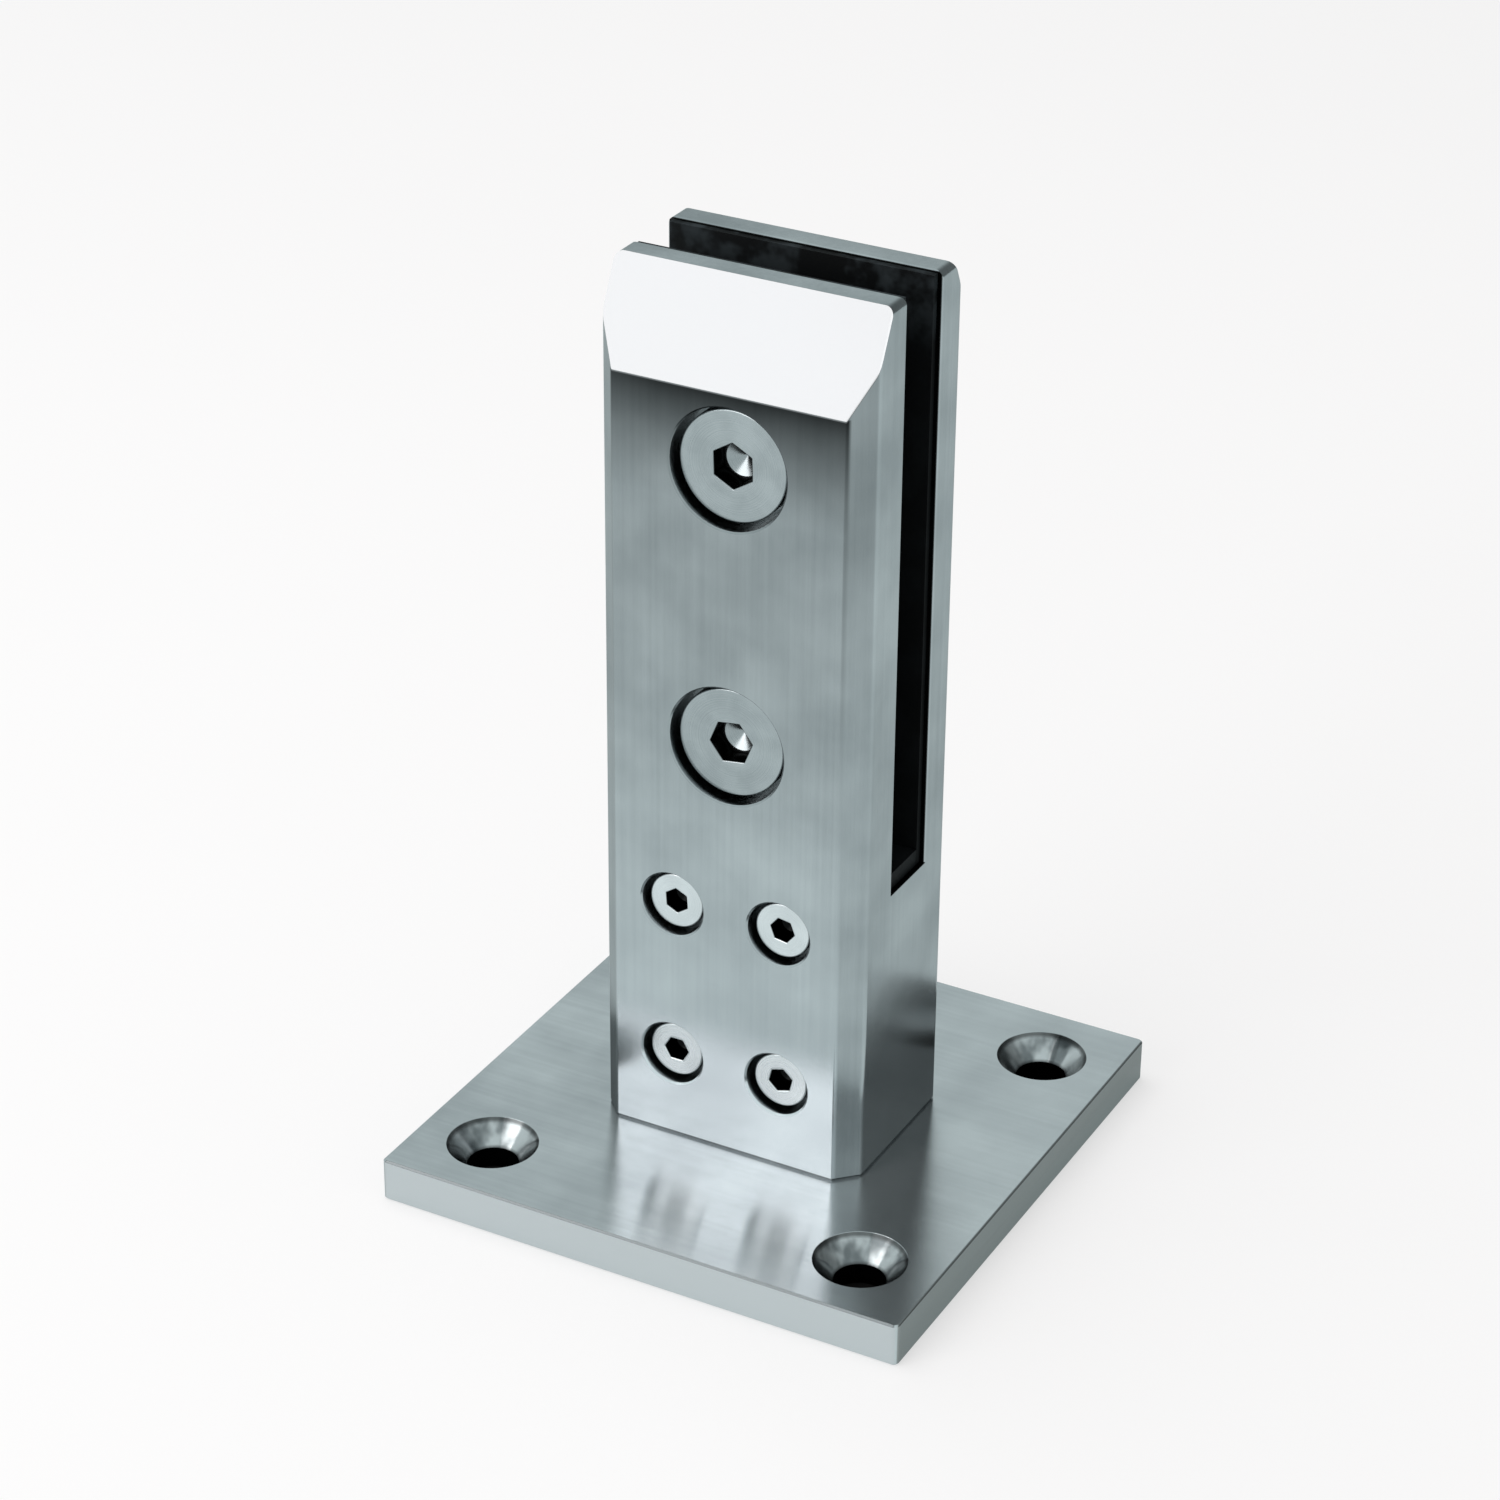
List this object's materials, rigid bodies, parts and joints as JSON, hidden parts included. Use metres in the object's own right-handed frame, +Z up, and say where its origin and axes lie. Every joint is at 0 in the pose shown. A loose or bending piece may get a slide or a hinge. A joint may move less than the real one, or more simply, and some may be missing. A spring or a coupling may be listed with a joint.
{
  "type": "glass spigot",
  "caption": "Upright slotted clamp block on a square drilled base plate, holding the lower edge of a glass panel between lined cheeks with socket screws.",
  "frame": {"origin": "bottom centre of the base plate", "axes": "+Z up; the front with the screw heads faces -Y; the glass slot runs along X"},
  "size_m": [0.1, 0.1, 0.1675],
  "materials": {
    "satin_steel": "satin, brushed upright on the block and along its slot on the plate",
    "screw_steel": "satin, faced in a lathe",
    "black_rubber": "matte, fine grain",
    "nylon": "turned, matte"
  },
  "bodies": {
    "spigot": {"base_plate": "satin_steel", "base_stub": "satin_steel", "clamp_body": "satin_steel", "stub_screw_left": "screw_steel", "stub_screw_right": "screw_steel", "foot_screw_lower_left": "screw_steel", "foot_screw_lower_right": "screw_steel", "foot_screw_upper_left": "screw_steel", "foot_screw_upper_right": "screw_steel", "front_lining": "black_rubber", "rear_lining": "black_rubber", "floor_pad": "black_rubber", "glass_bush_lower": "nylon", "glass_bush_upper": "nylon"},
    "lower_clamp_screw": {"clamp_screw_lower": "screw_steel"},
    "upper_clamp_screw": {"clamp_screw_upper": "screw_steel"}
  },
  "joints": [
    {"name": "lower_screw_draw", "type": "slide", "parent": "spigot", "child": "lower_clamp_screw", "axis": [0, -1, 0], "range_m": [0, 0.019]},
    {"name": "upper_screw_draw", "type": "slide", "parent": "spigot", "child": "upper_clamp_screw", "axis": [0, -1, 0], "range_m": [0, 0.019]}
  ]
}
